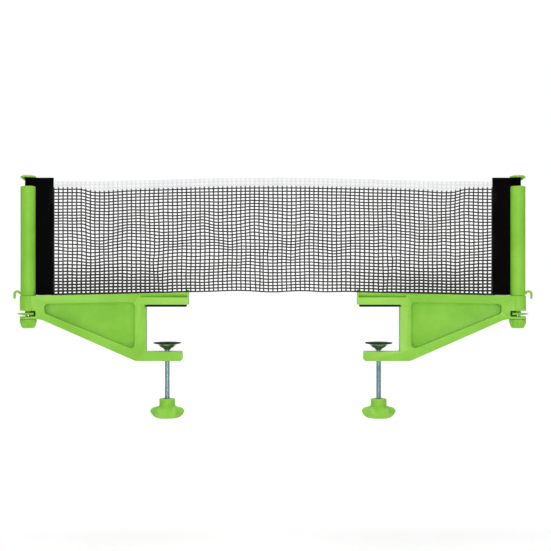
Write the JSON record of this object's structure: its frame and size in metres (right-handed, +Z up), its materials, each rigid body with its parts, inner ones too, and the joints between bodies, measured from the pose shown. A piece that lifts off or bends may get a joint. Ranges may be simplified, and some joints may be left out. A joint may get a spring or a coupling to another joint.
{
  "type": "table tennis net clamp",
  "caption": "Clamp-on net and post set: screw clamps with jaws, round posts, height adjusters and a meshed net with a taped upper edge between them.",
  "frame": {"origin": "midway between the two clamps, on the playing surface: the plane of the upper pads' undersides", "axes": "+X along the net from the left clamp to the right, +Y away from the viewer, +Z up"},
  "size_m": [0.614, 0.0356, 0.2868],
  "materials": {
    "green_plastic": "moulded, satin to semi-gloss",
    "black_rubber": "matte",
    "zinc_plated_steel": "bright zinc plating",
    "spring_steel": "satin",
    "pressed_steel": "bright pressed sheet",
    "white_nylon": "satin",
    "black_fabric": "woven, matte",
    "black_netting": "open woven net",
    "white_tape": "woven tape, matte",
    "braided_cord": "braided"
  },
  "bodies": {
    "root": {"left_bracket": "green_plastic", "left_upper_pad": "black_rubber", "left_post_tube": "green_plastic", "left_screw_nut": "zinc_plated_steel", "right_bracket": "green_plastic", "right_upper_pad": "black_rubber", "right_post_tube": "green_plastic", "right_screw_nut": "zinc_plated_steel", "net_mesh": "black_netting", "net_top_tape": "white_tape", "net_top_cord": "braided_cord"},
    "left_height_seat": {"left_height_carrier": "green_plastic", "left_height_tab": "green_plastic", "left_net_sleeve": "black_fabric"},
    "left_height_adjuster": {"left_height_knob": "green_plastic", "left_adjuster_bolt": "zinc_plated_steel", "left_bolt_clip": "spring_steel"},
    "left_rod": {"left_net_rod": "zinc_plated_steel", "left_rod_head": "green_plastic"},
    "left_screw_end": {"left_swivel_bush": "white_nylon"},
    "left_screw": {"left_clamp_screw": "zinc_plated_steel", "left_clamp_knob": "green_plastic"},
    "left_foot": {"left_foot_cup": "pressed_steel", "left_foot_rubber": "black_rubber"},
    "right_height_seat": {"right_height_carrier": "green_plastic", "right_height_tab": "green_plastic", "right_net_sleeve": "black_fabric"},
    "right_height_adjuster": {"right_height_knob": "green_plastic", "right_adjuster_bolt": "zinc_plated_steel", "right_bolt_clip": "spring_steel"},
    "right_rod": {"right_net_rod": "zinc_plated_steel", "right_rod_head": "green_plastic"},
    "right_screw_end": {"right_swivel_bush": "white_nylon"},
    "right_screw": {"right_clamp_screw": "zinc_plated_steel", "right_clamp_knob": "green_plastic"},
    "right_foot": {"right_foot_cup": "pressed_steel", "right_foot_rubber": "black_rubber"}
  },
  "joints": [
    {"name": "left_height_turn", "type": "hinge", "parent": "root", "child": "left_height_adjuster", "pos_m": [-0.2892, 0, -0.02], "axis": [0, 0, 1], "range_deg": [-1029, 0]},
    {"name": "left_height_lift", "type": "slide", "parent": "root", "child": "left_height_seat", "axis": [0, 0, 1], "range_m": [0, 0.002]},
    {"name": "left_rod_pull", "type": "slide", "parent": "left_height_seat", "child": "left_rod", "axis": [0, 0, 1], "range_m": [0, 0.15]},
    {"name": "left_screw_lift", "type": "slide", "parent": "root", "child": "left_screw_end", "axis": [0, 0, 1], "range_m": [0, 0.0395]},
    {"name": "left_screw_turn", "type": "hinge", "parent": "left_screw_end", "child": "left_screw", "pos_m": [-0.1249, 0, -0.09], "axis": [0, 0, 1], "range_deg": [0, 14220]},
    {"name": "left_foot_tilt", "type": "hinge", "parent": "left_screw_end", "child": "left_foot", "pos_m": [-0.1249, 0, -0.0476], "axis": [0, 1, 0], "range_deg": [-5, 5]},
    {"name": "right_height_turn", "type": "hinge", "parent": "root", "child": "right_height_adjuster", "pos_m": [0.2892, 0, -0.02], "axis": [0, 0, 1], "range_deg": [-1029, 0]},
    {"name": "right_height_lift", "type": "slide", "parent": "root", "child": "right_height_seat", "axis": [0, 0, 1], "range_m": [0, 0.002]},
    {"name": "right_rod_pull", "type": "slide", "parent": "right_height_seat", "child": "right_rod", "axis": [0, 0, 1], "range_m": [0, 0.15]},
    {"name": "right_screw_lift", "type": "slide", "parent": "root", "child": "right_screw_end", "axis": [0, 0, 1], "range_m": [0, 0.0395]},
    {"name": "right_screw_turn", "type": "hinge", "parent": "right_screw_end", "child": "right_screw", "pos_m": [0.1249, 0, -0.09], "axis": [0, 0, 1], "range_deg": [0, 14220]},
    {"name": "right_foot_tilt", "type": "hinge", "parent": "right_screw_end", "child": "right_foot", "pos_m": [0.1249, 0, -0.0476], "axis": [0, 1, 0], "range_deg": [-5, 5]}
  ],
  "couplings": [
    {"joint": "left_height_turn", "follows": "left_height_lift", "rad_per_m": -8976},
    {"joint": "left_screw_turn", "follows": "left_screw_lift", "rad_per_m": 6283.2},
    {"joint": "right_height_turn", "follows": "right_height_lift", "rad_per_m": -8976},
    {"joint": "right_screw_turn", "follows": "right_screw_lift", "rad_per_m": 6283.2}
  ]
}
